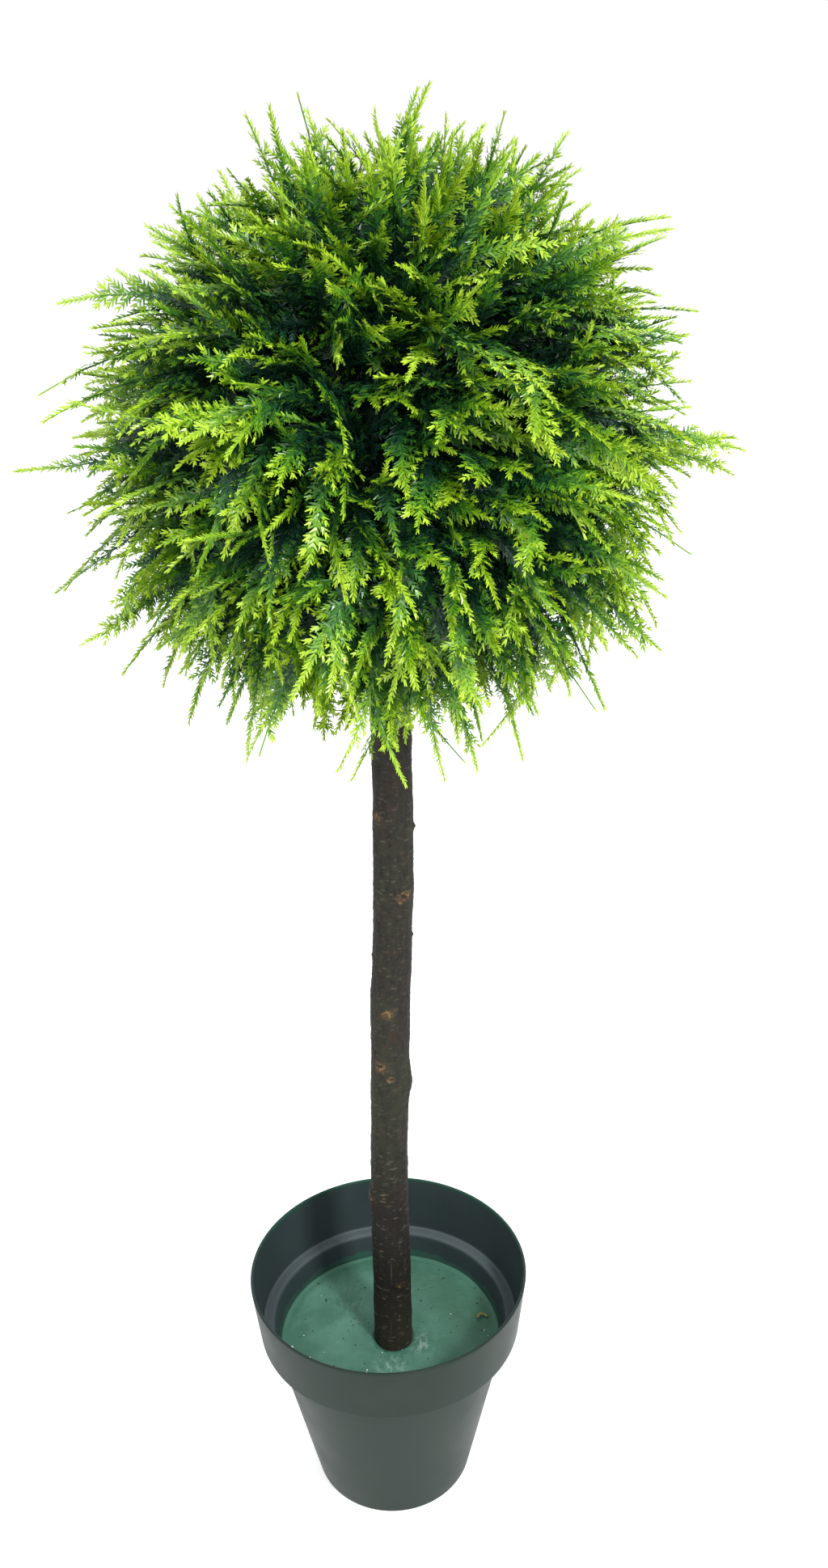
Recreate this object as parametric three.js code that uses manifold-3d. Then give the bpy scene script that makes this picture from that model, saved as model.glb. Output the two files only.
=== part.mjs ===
// Artificial ball topiary: a round head of cedar-like sprigs on a natural wood stem, which stands
// in painted cement in a round plastic nursery pot. Millimetres, +Z up. The origin is the centre of
// the pot's flat underside. The stem runs from inside the cement to the middle of the head, where a
// light ball core holds it. The sprigs are grouped in masses that fill the space round the core.
import * as THREE from "three";
import { mergeVertices } from "three/addons/utils/BufferGeometryUtils.js";
import Module from "manifold-3d";

const wasm = await Module();
wasm.setup();

// ---- Driving dimensions ----

const GAP = 0.3; // clearance between neighbouring solids
const WELD = 1e-4; // distance within which corners are one point

const POT = {
  rimRadius: 95,
  height: 170,
  baseRadius: 55,
  wall: 2,
  floor: 3,
  baseChamfer: 1.5, // bevel round the underside
  collarHeight: 43, // the wide band under the rim
  collarFootRadius: 90.2,
  bodyTopRadius: 82.3, // where the tapered body meets the collar's ledge
  lip: 1, // rounding of the rim's top edge
  sides: 48,
};

const CEMENT = {
  top: 111.5,
  dish: 1.5, // how far the surface sinks from the wall towards the stem
  rings: 3,
};

const STEM = {
  foot: 14, // height of the flat cut, inside the cement
  footRadius: 13.4,
  topRadius: 11,
  start: new THREE.Vector2(-1.2, -2.5), // centre of the flat cut
  wander: new THREE.Vector2(-1.4, 0.8), // sideways swing of the stem about its straight line
  wanderStart: 170,
  wanderLength: 420, // height over which the swing repeats
  ovality: 0.25, // how far the section is out of round
  ovalityTwist: 90, // height over which the oval turns by one radian
  sides: 16,
  rings: 34,
};

// Healed branch stubs: height, angle round the stem in degrees, swelling and its reach.
const KNOTS = [
  { z: 166, angle: -60, swell: 0.7, reach: 12 },
  { z: 323, angle: 0, swell: 1.7, reach: 15 },
  { z: 340, angle: -115, swell: 0.8, reach: 20 },
  { z: 383, angle: 175, swell: 1.2, reach: 18 },
  { z: 463, angle: -45, swell: 1.3, reach: 13 },
  { z: 506, angle: 0, swell: 1.2, reach: 8 },
];

const HEAD = {
  centre: new THREE.Vector3(15, 0, 725),
  coreRadius: 66,
  coreSides: 20,
  coreRings: 10,
  radius: 154, // mean radius of the packed foliage
  waves: 1.9, // height of each slow wave of the outline
  unevenness: 3, // quick ups and downs of the outline
  edge: 0.95, // share of its radius that a mass keeps at its edge
  spikes: 6, // long sprig tips on each mass
  tipReach: 188, // reach of the longest sprigs at the head's middle
  tipDroop: 9.5, // how much further they reach below, and less above
  tipSpread: 6, // how much the longest sprigs differ
  seam: 0.35, // half the gap between masses, at the core
};

// The slow waves of the outline: which way each runs and how tightly, and where it starts.
const WAVES = [
  { along: new THREE.Vector3(5, 0, 3), start: 3 },
  { along: new THREE.Vector3(-4, 6, 0), start: 5 },
  { along: new THREE.Vector3(0, 4, 7), start: 1 },
];

// Where the outline stands out or, at the upper left, lies flatter: the middle and half-width of
// each place in degrees, and how far it rises.
const SWELLS = [
  { elevation: 55, azimuth: 152, width: 25, rise: -15 },
  { elevation: -25, azimuth: 190, width: 34, rise: 11 },
];

// Rings of foliage masses, from the top down: elevation of their middles in degrees.
const RINGS = [
  { name: "top", count: 1, elevation: 90, turn: 0 },
  { name: "upper", count: 5, elevation: 46, turn: 20 },
  { name: "middle", count: 7, elevation: 7, turn: 0 },
  { name: "lower", count: 6, elevation: -32, turn: 15 },
  { name: "under", count: 3, elevation: -66, turn: 45 },
];

// Points round each mass, the first of them square to a slanting line, and the shares of the way
// to its edge at which its rings lie.
const MASS = { around: 16, slant: new THREE.Vector3(0.3, 1, 0.2), steps: [0.3, 0.6, 0.82, 1] };

// ---- Materials ----

const finish = (color, roughness) =>
  new THREE.MeshStandardMaterial({ color, roughness, metalness: 0 });
const potPlastic = () => finish(0x4f5b57, 0.5);
const cementPaint = () => finish(0x4f8570, 0.75);
const bark = () => finish(0x3b352d, 0.85);
const coreFoam = () => finish(0x16281b, 0.9);
const foliage = {
  top: () => finish(0x86b32c, 0.55),
  upper: () => finish(0x7fae2b, 0.55),
  middle: () => finish(0x5f9630, 0.55),
  lower: () => finish(0x548a31, 0.55),
  under: () => finish(0x275f33, 0.55),
};

// ---- Helpers ----

// A repeatable run of numbers from 0 to 1, by integer mixing.
function seeded(seed) {
  let state = seed >>> 0;
  return () => {
    state = (state + 0x6d2b79f5) >>> 0;
    let t = Math.imul(state ^ (state >>> 15), 1 | state);
    t = (t + Math.imul(t ^ (t >>> 7), 61 | t)) ^ t;
    return ((t ^ (t >>> 14)) >>> 0) / 2 ** 32;
  };
}

// Only positions, with shared vertices merged, as the boolean library needs them.
function welded(geometry) {
  const plain = geometry.clone();
  plain.deleteAttribute("normal");
  plain.deleteAttribute("uv");
  return mergeVertices(plain, WELD);
}

function solidOf(geometry) {
  const plain = welded(geometry);
  return new wasm.Manifold(
    new wasm.Mesh({
      numProp: 3,
      vertProperties: plain.attributes.position.array,
      triVerts: new Uint32Array(plain.index.array),
    }),
  );
}

function geometryOf(solid) {
  const mesh = solid.getMesh();
  const geometry = new THREE.BufferGeometry();
  geometry.setAttribute("position", new THREE.BufferAttribute(mesh.vertProperties, 3));
  geometry.setIndex(new THREE.BufferAttribute(mesh.triVerts, 1));
  geometry.computeVertexNormals();
  return geometry;
}

const without = (geometry, cutter) => geometryOf(solidOf(geometry).subtract(solidOf(cutter)));

function indexed(points, faces) {
  const geometry = new THREE.BufferGeometry().setFromPoints(points);
  geometry.setIndex(faces.flat());
  geometry.computeVertexNormals();
  return geometry;
}

// A profile of [radius, height] pairs turned about the upright axis.
function turned(profile, sides) {
  const points = profile.map(([radius, height]) => new THREE.Vector2(radius, height));
  return new THREE.LatheGeometry(points, sides).rotateX(Math.PI / 2);
}

// Rings of points, lowest first, closed by a middle point at each end.
function ringed(rings, lowest, highest) {
  const sides = rings[0].length;
  const points = [lowest, ...rings.flat(), highest];
  const at = (ring, side) => 1 + ring * sides + (side % sides);
  const last = points.length - 1;
  const faces = [];
  for (let side = 0; side < sides; side++) {
    faces.push([0, at(0, side + 1), at(0, side)]);
    faces.push([last, at(rings.length - 1, side), at(rings.length - 1, side + 1)]);
    for (let ring = 0; ring < rings.length - 1; ring++) {
      faces.push([at(ring, side), at(ring, side + 1), at(ring + 1, side + 1)]);
      faces.push([at(ring, side), at(ring + 1, side + 1), at(ring + 1, side)]);
    }
  }
  return indexed(points, faces);
}

// ---- Pot ----

const collarFoot = POT.height - POT.collarHeight;

// Outer and inner radius of the pot's tapered body at a height.
const bodyRadius = (z) => THREE.MathUtils.mapLinear(z, 0, collarFoot, POT.baseRadius, POT.bodyTopRadius);
const boreRadius = (z) => bodyRadius(z) - POT.wall;

function pot() {
  const { rimRadius, height, baseRadius, wall, floor, baseChamfer, collarFootRadius, lip } = POT;
  return turned(
    [
      [0, 0],
      [baseRadius - baseChamfer, 0],
      [bodyRadius(baseChamfer), baseChamfer],
      [bodyRadius(collarFoot), collarFoot],
      [collarFootRadius - lip, collarFoot],
      [collarFootRadius, collarFoot + lip],
      [rimRadius, height - lip],
      [rimRadius - lip, height],
      [rimRadius - wall, height - lip],
      [collarFootRadius - wall, collarFoot + wall],
      [boreRadius(collarFoot), collarFoot + wall],
      [boreRadius(collarFoot), collarFoot],
      [boreRadius(floor), floor],
      [0, floor],
    ],
    POT.sides,
  );
}

// ---- Stem ----

// How far up the stem a height is, from 0 at the flat cut to 1 in the middle of the head.
const stemShare = (z) => (z - STEM.foot) / (HEAD.centre.z - STEM.foot);

// Middle of the stem at a height: a straight lean from the foot to the head, with a slow swing.
function stemCentre(z) {
  const swing = Math.sin((2 * Math.PI * (z - STEM.wanderStart)) / STEM.wanderLength);
  const centre = STEM.start.clone().lerp(HEAD.centre, stemShare(z)).addScaledVector(STEM.wander, swing);
  return new THREE.Vector3(centre.x, centre.y, z);
}

// Radius of the stem at a height and an angle: taper, a slightly oval section and the knots.
function stemRadius(z, angle) {
  const taper = THREE.MathUtils.lerp(STEM.footRadius, STEM.topRadius, stemShare(z));
  const oval = STEM.ovality * Math.cos(2 * angle + z / STEM.ovalityTwist);
  const swell = KNOTS.reduce((sum, knot) => {
    const along = (z - knot.z) / knot.reach;
    const turn = Math.cos(angle - THREE.MathUtils.degToRad(knot.angle));
    return sum + knot.swell * Math.exp(-along * along) * Math.max(0, turn) ** 3;
  }, 0);
  return taper + oval + swell;
}

// One section of the stem, grown by a margin.
function stemRing(z, margin) {
  return Array.from({ length: STEM.sides }, (_, side) => {
    const angle = (2 * Math.PI * side) / STEM.sides;
    const outward = new THREE.Vector3(Math.cos(angle), Math.sin(angle), 0);
    return stemCentre(z).addScaledVector(outward, stemRadius(z, angle) + margin);
  });
}

// The stem, grown by a margin all round: 0 for the stem itself, more for its pocket.
function stem(margin = 0) {
  const low = STEM.foot - margin;
  const high = HEAD.centre.z + margin;
  const rings = Array.from({ length: STEM.rings + 1 }, (_, ring) =>
    stemRing(THREE.MathUtils.lerp(low, high, ring / STEM.rings), margin),
  );
  return ringed(rings, stemCentre(low), stemCentre(high));
}

// ---- Cement ----

function cement() {
  const { top, dish, rings } = CEMENT;
  const inner = (z) => boreRadius(z) - GAP;
  const foot = POT.floor + GAP;
  const surface = Array.from({ length: rings }, (_, ring) => {
    const share = 1 - ring / rings;
    return [share * inner(top), top - dish * (1 - share ** 2)];
  });
  return turned([[0, foot], [inner(foot), foot], ...surface, [0, top - dish]], POT.sides);
}

// ---- Head ----

// Unit vector at an elevation and an azimuth in degrees, azimuth 0 along +X.
function headDirection(elevation, azimuth) {
  const up = THREE.MathUtils.degToRad(elevation);
  const round = THREE.MathUtils.degToRad(azimuth);
  return new THREE.Vector3(Math.cos(up) * Math.cos(round), Math.cos(up) * Math.sin(round), Math.sin(up));
}

const massPlaces = RINGS.flatMap(({ name, count, elevation, turn }) =>
  Array.from({ length: count }, (_, i) => ({
    name: count === 1 ? `foliage_${name}` : `foliage_${name}_${i + 1}`,
    ring: name,
    direction: headDirection(elevation, turn + (360 * i) / count),
  })),
);

// The ball core, grown by a margin all round: 0 for the core itself, more for its pocket.
function core(margin = 0) {
  const ball = new THREE.SphereGeometry(HEAD.coreRadius + margin, HEAD.coreSides, HEAD.coreRings);
  return ball.rotateX(Math.PI / 2).translate(...HEAD.centre.toArray());
}

// How far the outline stands out along a direction.
function swelling(way) {
  return SWELLS.reduce((sum, { elevation, azimuth, width, rise }) => {
    const away = THREE.MathUtils.radToDeg(way.angleTo(headDirection(elevation, azimuth)));
    return sum + rise * Math.exp(-((away / width) ** 2));
  }, 0);
}

// Radius of the packed foliage along a direction: slow waves over the mean.
function foliageRadius(way) {
  const waves = WAVES.reduce((sum, { along, start }) => sum + Math.sin(along.dot(way) + start), 0);
  return HEAD.radius + HEAD.waves * waves + swelling(way);
}

// Angle from a mass's middle to its edge along a tangent: the nearest halfway plane to another
// mass, less the seam.
function edgeAngle(direction, tangent, others) {
  const angles = others.map((other) => {
    const halfway = other.clone().sub(direction).normalize();
    const run = tangent.dot(halfway);
    return run > 0 ? Math.atan2(-direction.dot(halfway), run) : Math.PI / 2;
  });
  return Math.min(...angles) - HEAD.seam / HEAD.coreRadius;
}

// Tangents all round a mass's middle, each with the angle to the mass's edge.
function massBearings(direction) {
  const others = massPlaces.map((place) => place.direction).filter((other) => other !== direction);
  const side = MASS.slant.clone().cross(direction).normalize();
  return Array.from({ length: MASS.around }, (_, i) => {
    const tangent = side.clone().applyAxisAngle(direction, (2 * Math.PI * i) / MASS.around);
    return { tangent, edge: edgeAngle(direction, tangent, others) };
  });
}

// The places of a mass's long tips, never side by side: "step:bearing" keys.
function spikePlaces(random) {
  const spiked = new Set();
  while (spiked.size < HEAD.spikes) {
    const step = Math.floor(random() * (MASS.steps.length - 1));
    const bearing = 2 * Math.floor((random() * MASS.around) / 2);
    spiked.add(`${step}:${bearing}`);
  }
  return spiked;
}

// One mass: a bulging outer face with long sprig tips, and straight sides that run down into the
// space of the core. Each side lies on the halfway plane to its neighbour.
function foliageMass(direction, seed) {
  const random = seeded(seed);
  const spiked = spikePlaces(random);
  const bearings = massBearings(direction);
  const along = ({ tangent, edge }, share) =>
    direction.clone().applyAxisAngle(direction.clone().cross(tangent), share * edge);
  const outerPoint = (bearing, i, step) => {
    const share = MASS.steps[step];
    const way = along(bearing, share);
    const rounding = 1 - (1 - HEAD.edge) * share ** 3;
    const packed = foliageRadius(way) * rounding + HEAD.unevenness * (random() - 0.5);
    const reach = HEAD.tipReach - HEAD.tipDroop * way.z - HEAD.tipSpread * random() + swelling(way);
    return way.multiplyScalar(spiked.has(`${step}:${i}`) ? reach : packed).add(HEAD.centre);
  };
  const inside = HEAD.coreRadius / 2;
  const foot = bearings.map((bearing) => along(bearing, 1).multiplyScalar(inside).add(HEAD.centre));
  const outer = MASS.steps.map((_, step) => bearings.map((bearing, i) => outerPoint(bearing, i, step)));
  const middle = (radius) => direction.clone().multiplyScalar(radius).add(HEAD.centre);
  return ringed([foot, ...outer.reverse()], middle(inside), middle(foliageRadius(direction)));
}

// ---- Assembly ----

const stemPocket = stem(GAP);
const corePocket = core(GAP);

function node(name, geometry, material) {
  const mesh = new THREE.Mesh(geometry, material);
  mesh.name = name;
  return mesh;
}

const topiary = new THREE.Group();
topiary.add(
  node("pot", pot(), potPlastic()),
  node("cement", without(cement(), stemPocket), cementPaint()),
  node("stem", stem(), bark()),
  node("core", without(core(), stemPocket), coreFoam()),
);
massPlaces.forEach(({ name, ring, direction }, index) => {
  const mass = without(without(foliageMass(direction, index), corePocket), stemPocket);
  topiary.add(node(name, mass, foliage[ring]()));
});

export default topiary;
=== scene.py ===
"""Artificial ball topiary in a nursery pot: its finished surfaces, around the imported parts.

Lengths are metres in the parts' own frame, with +Z up and the front towards -Y. Defaults of lengths
are given in millimetres, and defaults of colours as display values from 0 to 255.
"""

import bpy
import numpy as np
from mathutils import Matrix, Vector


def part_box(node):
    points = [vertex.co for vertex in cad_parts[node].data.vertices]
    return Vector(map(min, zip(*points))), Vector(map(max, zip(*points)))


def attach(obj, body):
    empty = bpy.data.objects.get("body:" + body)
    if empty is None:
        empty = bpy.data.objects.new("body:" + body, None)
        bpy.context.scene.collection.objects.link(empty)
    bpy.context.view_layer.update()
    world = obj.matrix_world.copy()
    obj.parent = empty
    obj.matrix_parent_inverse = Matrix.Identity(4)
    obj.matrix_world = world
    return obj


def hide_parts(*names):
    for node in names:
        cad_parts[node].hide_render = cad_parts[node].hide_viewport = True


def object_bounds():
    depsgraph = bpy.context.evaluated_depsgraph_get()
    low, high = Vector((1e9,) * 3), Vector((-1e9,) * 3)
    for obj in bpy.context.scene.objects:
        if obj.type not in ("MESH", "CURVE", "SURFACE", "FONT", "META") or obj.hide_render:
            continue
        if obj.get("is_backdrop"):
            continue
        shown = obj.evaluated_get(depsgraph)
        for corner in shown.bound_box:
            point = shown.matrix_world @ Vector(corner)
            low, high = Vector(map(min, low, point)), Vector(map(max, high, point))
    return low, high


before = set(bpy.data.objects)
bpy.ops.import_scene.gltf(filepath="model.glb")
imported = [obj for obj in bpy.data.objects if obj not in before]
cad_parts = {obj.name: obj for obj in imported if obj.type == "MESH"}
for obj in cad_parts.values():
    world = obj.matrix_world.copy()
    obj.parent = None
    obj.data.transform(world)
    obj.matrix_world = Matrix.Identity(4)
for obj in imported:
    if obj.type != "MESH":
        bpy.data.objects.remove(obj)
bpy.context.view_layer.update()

bl_info = {
    "name": "Ball topiary",
    "version": (1, 0, 0),
    "blender": (4, 5, 0),
    "location": "3D View > Sidebar > Topiary",
    "description": "Makes an artificial ball topiary on a wood stem in a nursery pot",
    "category": "Add Mesh",
}

MM = 0.001
TAU = 2 * np.pi
DOWN = np.array((0.0, 0.0, -1.0))
PIECE_LIMIT = 190_000  # triangles in one piece of needles or twigs
POT_SIDES, CEMENT_SIDES, STEM_SIDES, CORE_SIDES = 200, 230, 144, 120
CEMENT_RINGS, CORE_RINGS = 96, 62
STEM_RINGS = (8, 640, 24)  # in the cement, in view and in the head
MASSES = sorted(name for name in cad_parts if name.startswith("foliage_"))


# ---- Settings ----


def length(name, description, millimetres):
    """A distance setting."""
    return bpy.props.FloatProperty(
        name=name, description=description, default=millimetres * MM, unit="LENGTH", precision=4
    )


def number(name, description, default):
    """A plain number setting."""
    return bpy.props.FloatProperty(name=name, description=description, default=default, precision=3)


def count(name, description, default):
    """A whole number setting."""
    return bpy.props.IntProperty(name=name, description=description, default=default, min=0)


def linear(*channels):
    """Display values from 0 to 255 as linear light."""
    share = np.array(channels) / 255
    return tuple(np.where(share > 0.04045, ((share + 0.055) / 1.055) ** 2.4, share / 12.92).tolist())


def tint(name, description, *channels):
    """A colour setting, from display values."""
    return bpy.props.FloatVectorProperty(
        name=name, description=description, default=linear(*channels), subtype="COLOR", size=3, min=0, max=1
    )


class PotSettings(bpy.types.PropertyGroup):
    wall: length("Wall", "Thickness of the plastic", 2.0)
    floor: length("Floor", "Thickness of the pot's bottom", 3.0)
    base_radius: length("Base radius", "Outer radius at the underside", 55.0)
    body_top_radius: length("Body top radius", "Outer radius of the body where it meets the collar", 82.3)
    collar_height: length("Collar height", "Height of the wide band under the rim", 43.0)
    collar_foot_radius: length("Collar foot radius", "Outer radius of the band's lower edge", 90.2)
    foot_ring: length("Foot ring", "Width of the ring that the pot stands on", 7.0)
    recess: length("Recess", "How far the underside is hollowed inside the foot ring", 0.8)
    wobble: length("Wobble", "How far the thin wall strays from a true circle", 0.25)
    outside: tint("Outside", "Plastic in the light", 27, 39, 33)
    # The inner wall's tint is the same plastic painted paler and bluer: painted light on the inner wall.
    inside: tint("Inside", "Plastic of the inner wall", 42, 52, 54)
    dust: tint("Dust", "Pale dust on the ledge and in scuffs", 120, 132, 136)
    # The rim's tint is a painted green glint along the edge of the rim, at the back.
    rim: tint("Rim", "Worn green edge of the rim, at the back", 18, 74, 50)
    stain: tint("Stain", "Green paint that climbs the inner wall", 42, 76, 64)
    stain_height: length("Stain height", "How far the paint climbs the inner wall above the cement", 5.0)


class CementSettings(bpy.types.PropertyGroup):
    unevenness: length("Unevenness", "Height of the surface's slow waves", 0.7)
    grain: length("Grain", "Height of the surface's small bumps", 0.12)
    creep: length("Creep", "How far the cement and its paint climb the wall", 1.2)
    gap_depth: length("Gap depth", "Depth of the shrinkage gap round the stem", 2.5)
    paint: tint("Paint", "Green paint on the cement", 81, 125, 110)
    thick_paint: tint("Thick paint", "Paint where it lies thick", 53, 97, 79)
    painted_shadow_tint: tint("Damp paint", "Darker olive places in the paint", 51, 82, 63)
    # Painted shadow: darker olive paint on the right of the cement and towards the back, near the wall.
    scuff: tint("Scuff", "Whitish smears and rubbed places", 165, 190, 180)
    pit: tint("Pit", "Open pits in the surface", 20, 30, 26)
    crumbs: count("Crumbs", "Loose grains on the cement", 110)
    seed: count("Seed", "Start of the random draws", 5)


class StemSettings(bpy.types.PropertyGroup):
    lumps: length("Lumps", "Height of the bark's broad lumps", 0.45)
    ribs: length("Ribs", "Height of the bark's upright ribs", 0.28)
    grain: length("Grain", "Height of the bark's fine grain", 0.14)
    pores: count("Pores", "Raised cross-wise pores", 1500)
    cracks: count("Cracks", "Upright cracks", 14)
    bark: tint("Bark", "Main colour of the bark", 31, 27, 24)
    dark_bark: tint("Dark bark", "Bark in hollows and near the foot", 15, 12, 11)
    moss: tint("Olive bark", "Olive and grey patches", 42, 46, 31)
    pore: tint("Pore", "Pale pores", 98, 92, 76)
    rust: tint("Rust", "Red-brown patches", 58, 38, 28)
    scar: tint("Scar", "Orange-brown bark round the cut branches", 112, 78, 48)
    cut_wood: tint("Cut wood", "Pale wood where branches were cut", 136, 108, 66)
    seed: count("Seed", "Start of the random draws", 11)


class SprigSettings(bpy.types.PropertyGroup):
    sockets: count("Sockets", "Places on the core that carry a tuft of sprigs", 270)
    tuft: count("Tuft", "Sprigs in a tuft", 6)
    short: number("Short sprigs", "Share of the sprigs that stay short and dark inside the head", 0.33)
    fan: number("Fan", "Widest angle of a sprig from its tuft's middle, in degrees", 46.0)
    evenness: number("Evenness", "How far the outline is drawn toward a plain ball", 0.5)
    lift: number("Lift", "Share by which the long sprigs below the head are shortened", 0.1)
    fall: number("Fall", "How far a sprig's end hangs, as a share of its reach", 0.2)
    droop: number("Droop", "Sideways sag of a sprig, as a share of its length", 0.36)
    tail: length("Tail", "Slender end of a sprig, past its side shoots", 19.0)
    shoot_gap: length("Shoot gap", "Distance between side shoots along a sprig", 2.9)
    shoot_length: length("Shoot length", "Length of a sprig's longest side shoots", 12.0)
    needle_gap: length("Needle gap", "Distance between pairs of needles", 2.25)
    needle_length: length("Needle length", "Length of a needle", 4.2)
    needle_width: length("Needle width", "Width of a needle", 1.45)
    bare_reach: length("Bare reach", "Distance from the core within which a sprig is bare", 16.0)
    seed: count("Seed", "Start of the random draws", 4)
    deep: tint("Deep", "Innermost needles", 14, 41, 29)
    dark: tint("Dark", "Dark blue-green needles", 22, 60, 34)
    middle: tint("Middle", "Mid green needles", 44, 90, 28)
    fresh: tint("Fresh", "Fresh green needles", 80, 124, 22)
    yellow: tint("Yellow", "Yellow-green needles", 116, 152, 24)
    lime: tint("Lime", "Light tips", 148, 178, 42)


class StageSettings(bpy.types.PropertyGroup):
    floor: tint("Floor", "Colour of the floor", 244, 245, 246)
    distance: number("Distance", "Camera's distance in front of the pot's middle, in metres", 0.7423)
    height: number("Height", "Camera's height, in metres", 0.8489)
    sideways: number("Sideways", "Camera's place along X, in metres", 0.0244)
    pitch: number("Pitch", "How far the camera looks down, in degrees", 23.12)
    roll: number("Roll", "Turn of the camera about its line of sight, in degrees", -1.15)
    lens: number("Lens", "Focal length for a 36 mm long side, in millimetres", 31.56)


class TopiarySettings(bpy.types.PropertyGroup):
    pot: bpy.props.PointerProperty(type=PotSettings)
    cement: bpy.props.PointerProperty(type=CementSettings)
    stem: bpy.props.PointerProperty(type=StemSettings)
    sprigs: bpy.props.PointerProperty(type=SprigSettings)
    stage: bpy.props.PointerProperty(type=StageSettings)


# ---- Arrays ----


def unit(vectors):
    """Vectors scaled to length 1."""
    return vectors / np.maximum(np.linalg.norm(vectors, axis=-1, keepdims=True), 1e-12)


def dot(a, b):
    """Dot products along the last axis, kept as a column."""
    return np.sum(a * b, axis=-1, keepdims=True)


def smooth(low, high, value):
    """0 below low, 1 above high, and 3 s² - 2 s³ of the share s between them."""
    share = np.clip((value - low) / (high - low), 0, 1)
    return share * share * (3 - 2 * share)


def lattice(cells, seed):
    """A repeatable number from -1 to 1 for each whole-number cell, by integer mixing."""
    keys = cells.astype(np.int64) * np.array((73856093, 19349663, 83492791))
    mixed = (keys[..., 0] ^ keys[..., 1] ^ keys[..., 2]) + seed * 374761393
    mixed = ((mixed ^ (mixed >> 13)) * 1274126177) & 0xFFFFFFFF
    return ((mixed ^ (mixed >> 16)) & 0xFFFF) / 32767.5 - 1


def noise(points, size, seed=0):
    """Value noise: the lattice's numbers, blended smoothly between cells of the size."""
    scaled = points / size
    cell = np.floor(scaled)
    share = scaled - cell
    share = share * share * (3 - 2 * share)
    total = 0
    for corner in np.ndindex(2, 2, 2):
        weight = np.prod(np.where(corner, share, 1 - share), axis=-1)
        total = total + weight * lattice(cell + corner, seed)
    return total


def cad_points(node):
    """The different points of a CAD node's mesh."""
    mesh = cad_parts[node].data
    points = np.empty(len(mesh.vertices) * 3, np.float32)
    mesh.vertices.foreach_get("co", points)
    return np.unique(points.reshape(-1, 3).round(6), axis=0).astype(float)


# ---- Meshes ----


def grid_faces(rows, columns, first=0):
    """Two triangles for each cell of a grid whose last column joins its first."""
    row, column = np.meshgrid(np.arange(rows - 1), np.arange(columns), indexing="ij")
    a = first + row * columns + column
    b = first + row * columns + (column + 1) % columns
    cells = np.stack((a, b, b + columns, a, b + columns, a + columns), axis=-1)
    return cells.reshape(-1, 3)


def fan_faces(middle, ring):
    """Triangles from a middle point to the sides of a ring."""
    return np.stack((np.full(len(ring), middle), ring, np.roll(ring, -1)), axis=-1)


def closed_tube(grid, start, end):
    """A grid of rings closed by a middle point at each end: its points and triangles."""
    rows, columns, _ = grid.shape
    points = np.concatenate((grid.reshape(-1, 3), [start, end]))
    last = rows * columns
    first_ring = np.arange(columns)
    caps = (fan_faces(last, first_ring[::-1]), fan_faces(last + 1, last - columns + first_ring))
    return points, np.concatenate((grid_faces(rows, columns), *caps))


def outward(points, faces):
    """The faces, turned round if the closed surface's volume comes out negative."""
    a, b, c = (points[faces[:, corner]] for corner in range(3))
    volume = np.sum(a * np.cross(b, c))
    return faces if volume > 0 else faces[:, ::-1]


def add_piece(name, points, faces, material, nodes=(), shaded_smooth=True):
    """Puts arrays of points and triangles into a mesh that rides on the object's one body."""
    mesh = bpy.data.meshes.new(name)
    mesh.vertices.add(len(points))
    mesh.vertices.foreach_set("co", points.astype(np.float32).ravel())
    mesh.loops.add(faces.size)
    mesh.loops.foreach_set("vertex_index", faces.astype(np.int32).ravel())
    mesh.polygons.add(len(faces))
    mesh.polygons.foreach_set("loop_start", np.arange(len(faces), dtype=np.int32) * 3)
    mesh.polygons.foreach_set("use_smooth", np.full(len(faces), shaded_smooth))
    mesh.update(calc_edges=True)
    mesh.materials.append(material)
    piece = bpy.data.objects.new(name, mesh)
    bpy.context.scene.collection.objects.link(piece)
    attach(piece, "root")
    if nodes:
        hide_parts(*nodes)
    return piece


def add_attribute(piece, name, values):
    """One number for each point of a piece, for its material to read."""
    attribute = piece.data.attributes.new(name, "FLOAT", "POINT")
    attribute.data.foreach_set("value", values.astype(np.float32).ravel())


def rounded(corners, steps=7):
    """A path through (radius, height, rounding) corners, with each corner replaced by the arc of
    its rounding that touches both its sides."""
    places = np.array([corner[:2] for corner in corners])
    path = [places[0]]
    for before, here, after, (_, _, rounding) in zip(places, places[1:], places[2:], corners[1:]):
        back, on = unit(before - here), unit(after - here)
        half = np.arccos(np.clip(back @ on, -1, 1)) / 2
        centre = here + unit(back + on) * rounding / np.sin(half)
        first, last = (here + way * rounding / np.tan(half) - centre for way in (back, on))
        sweep = np.pi - 2 * half
        share = np.linspace(0, 1, steps)[:, None]
        arc = (np.sin((1 - share) * sweep) * first + np.sin(share * sweep) * last) / np.sin(sweep)
        path.extend(centre + arc)
    return np.array([*path, places[-1]])


def refined(path, step):
    """The path with points added so that none lie further apart than the step."""
    gaps = np.linalg.norm(np.diff(path, axis=0), axis=1)
    along = np.concatenate(([0], np.cumsum(gaps)))
    extra = [np.linspace(a, b, int((b - a) / step) + 2)[1:-1] for a, b in zip(along, along[1:])]
    places = np.sort(np.concatenate((along, *extra)))
    return np.stack([np.interp(places, along, column) for column in path.T], axis=-1)


def turned(path, sides):
    """A path of (radius, height) turned about the upright axis, as a grid of rings. Its first and
    last points lie on the axis."""
    angle = np.arange(sides) * TAU / sides
    radius, height = path[1:-1, :1], path[1:-1, 1:]
    rings = np.stack((radius * np.cos(angle), radius * np.sin(angle), height + 0 * angle), axis=-1)
    ends = ((0, 0, height) for height in path[[0, -1], 1])
    return rings, *ends


# ---- Shaders ----


def arithmetic(operation, swapped=False):
    """A method that adds the Math node of one operation, swapped if the wire comes second."""

    def method(self, other):
        a, b = (other, self) if swapped else (self, other)
        return self.shader.math(operation, a, b)

    return method


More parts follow.
